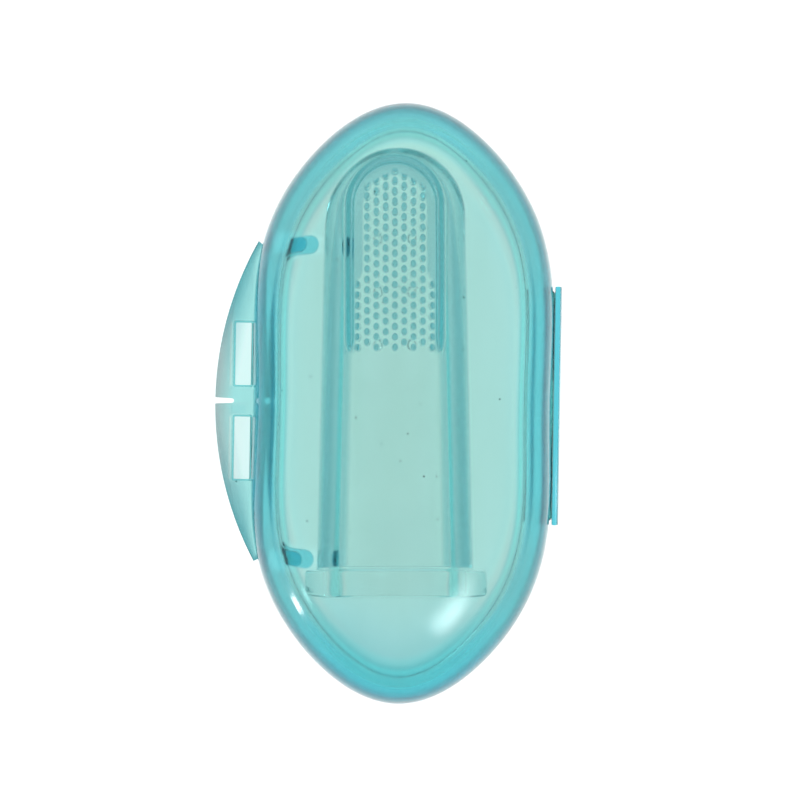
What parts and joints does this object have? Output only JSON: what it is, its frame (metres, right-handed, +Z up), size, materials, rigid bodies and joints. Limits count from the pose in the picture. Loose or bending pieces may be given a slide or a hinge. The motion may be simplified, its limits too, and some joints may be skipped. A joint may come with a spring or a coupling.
{
  "type": "finger toothbrush",
  "caption": "Soft silicone finger toothbrush with bristles, guard ridge and cuff, lying in an oval tinted clamshell case with a thumb tab and a two-fold living hinge.",
  "frame": {"origin": "middle of the closed case's underside, taken over its whole width from thumb tab to hinge strip", "axes": "+Y along the case towards the brush's fingertip end, +X towards the hinge, +Z up from the base to the lid"},
  "size_m": [0.046, 0.08, 0.029],
  "materials": {
    "case_base": "clear tinted polypropylene, glossy",
    "case_lid": "clear tinted polypropylene, glossy",
    "hinge_strip": "clear tinted polypropylene, thin",
    "silicone": "clear silicone, satin",
    "bristles": "clear silicone, moulded bristles",
    "silicone_trim": "clear silicone, satin"
  },
  "bodies": {
    "base": {"base_shell": "case_base"},
    "strip": {"hinge_strip": "hinge_strip"},
    "lid": {"lid_shell": "case_lid"},
    "brush": {"brush_sleeve": "silicone", "bristle_pad": "bristles", "guard_ridge": "silicone_trim", "massage_nub_1": "silicone_trim", "massage_nub_2": "silicone_trim", "massage_nub_3": "silicone_trim", "massage_nub_4": "silicone_trim", "massage_nub_5": "silicone_trim", "massage_nub_6": "silicone_trim"}
  },
  "joints": [
    {"name": "strip_fold", "type": "hinge", "parent": "base", "child": "strip", "pos_m": [0.02213, 0, 0.0108], "axis": [0, 1, 0], "range_deg": [0, 90]},
    {"name": "lid_fold", "type": "hinge", "parent": "strip", "child": "lid", "pos_m": [0.02213, 0, 0.0182], "axis": [0, 1, 0], "range_deg": [0, 90]},
    {"name": "brush_tilt", "type": "hinge", "parent": "base", "child": "brush", "pos_m": [0.00194, 0.02511, 0.01093], "axis": [-1, 0, 0], "range_deg": [0, 36]}
  ],
  "couplings": [
    {"joint": "lid_fold", "follows": "strip_fold", "ratio": 1},
    {"joint": "brush_tilt", "follows": "strip_fold", "ratio": 0.4}
  ]
}
